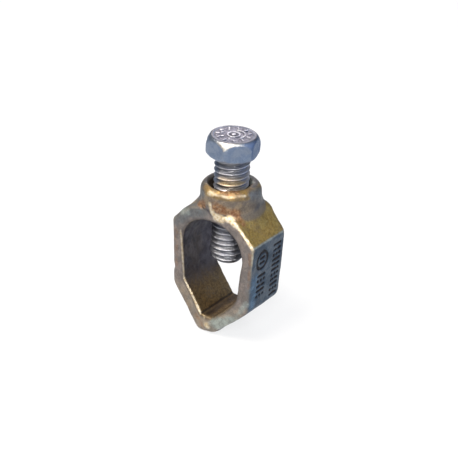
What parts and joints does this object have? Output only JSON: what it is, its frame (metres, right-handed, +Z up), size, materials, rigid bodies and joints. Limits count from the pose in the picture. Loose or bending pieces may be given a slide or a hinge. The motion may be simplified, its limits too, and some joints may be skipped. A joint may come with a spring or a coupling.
{
  "type": "earth rod clamp",
  "caption": "Closed cast link with a V-shaped seat for an earth rod and a hexagon-head screw that presses a cable against it.",
  "frame": {"origin": "on the clamping screw's axis, at mid depth of the body, at the level of the body's outer bottom", "axes": "+Z up along the clamping screw towards its head, X across the link, Y along the rod"},
  "size_m": [0.0264, 0.016, 0.0567],
  "materials": {
    "cast_brass": "rough cast, darkened",
    "plated_steel": "bright plated"
  },
  "bodies": {
    "clamp": {"clamp_body": "cast_brass"},
    "clamping_screw": {"screw": "plated_steel"}
  },
  "joints": [
    {"name": "screw_travel", "type": "slide", "parent": "clamp", "child": "clamping_screw", "axis": [0, 0, 1], "range_m": [-0.0076, 0.0125]}
  ]
}
